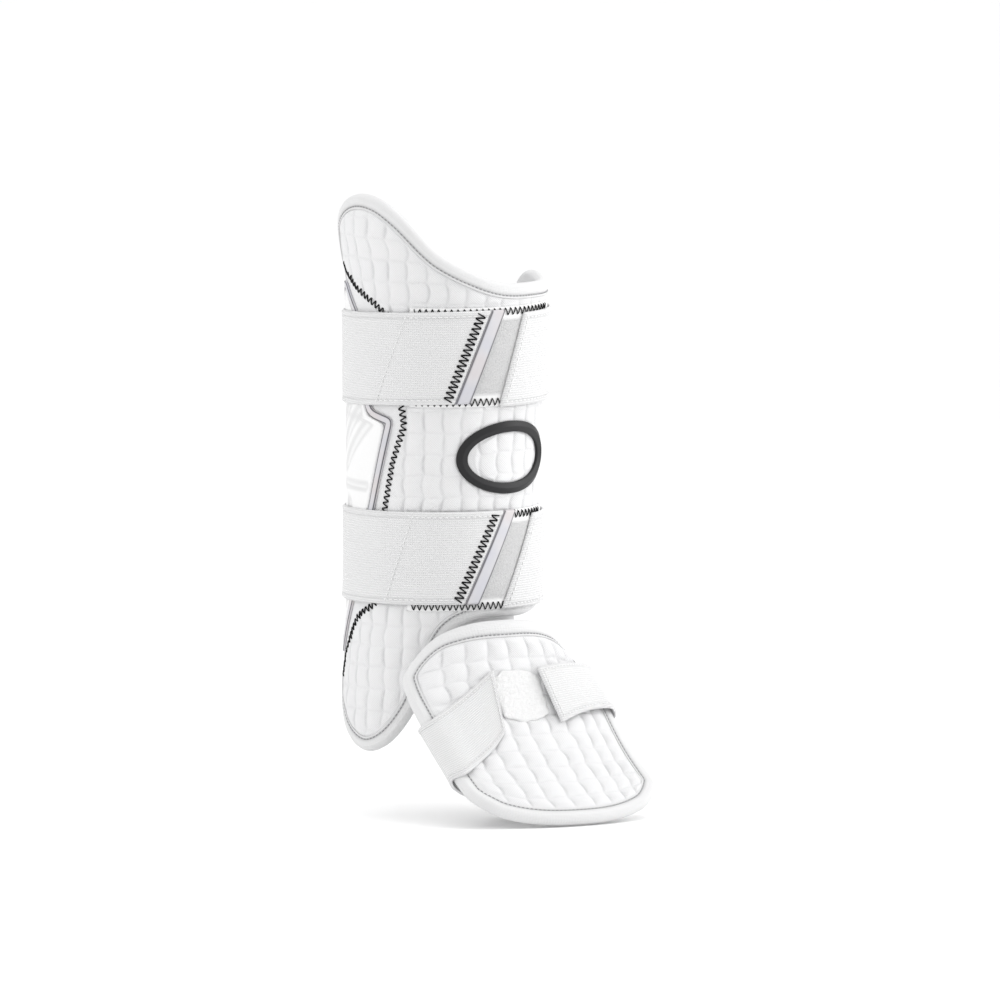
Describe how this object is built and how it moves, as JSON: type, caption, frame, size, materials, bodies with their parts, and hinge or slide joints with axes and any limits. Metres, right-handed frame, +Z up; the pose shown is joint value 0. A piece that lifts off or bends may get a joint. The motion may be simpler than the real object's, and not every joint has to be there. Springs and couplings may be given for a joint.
{
  "type": "batter's leg guard",
  "caption": "Padded leg guard worn round a lower leg, with elastic leg straps, a moulded side shield and a strapped instep flap.",
  "frame": {"origin": "the ankle's centre on the centre line of the leg, where the worn guard sits", "axes": "+Z up along the shin, -Y towards the toes, -X towards the wearer's outer side"},
  "size_m": [0.1719, 0.2481, 0.4218],
  "materials": {
    "quilt": "white quilted knit over foam",
    "binding": "white ribbed binding tape",
    "shield": "white satin moulded plate",
    "satin": "pale satin strip",
    "elastic": "white woven elastic",
    "loop_pile": "white loop pile",
    "badge": "black bevelled rubber",
    "lining": "plain white fabric"
  },
  "bodies": {
    "root": {"leg_panel": "quilt", "leg_binding": "binding", "side_shield": "shield", "shield_rim": "satin", "upper_strap": "elastic", "upper_end_strip": "satin", "upper_tab": "elastic", "upper_loop_patch": "loop_pile", "lower_strap": "elastic", "lower_end_strip": "satin", "lower_tab": "elastic", "lower_loop_patch": "loop_pile", "front_badge": "badge", "foot_panel": "quilt", "foot_binding": "binding", "foot_loop_patch": "loop_pile", "foot_strap": "elastic", "instep_tongue": "lining"}
  },
  "joints": []
}
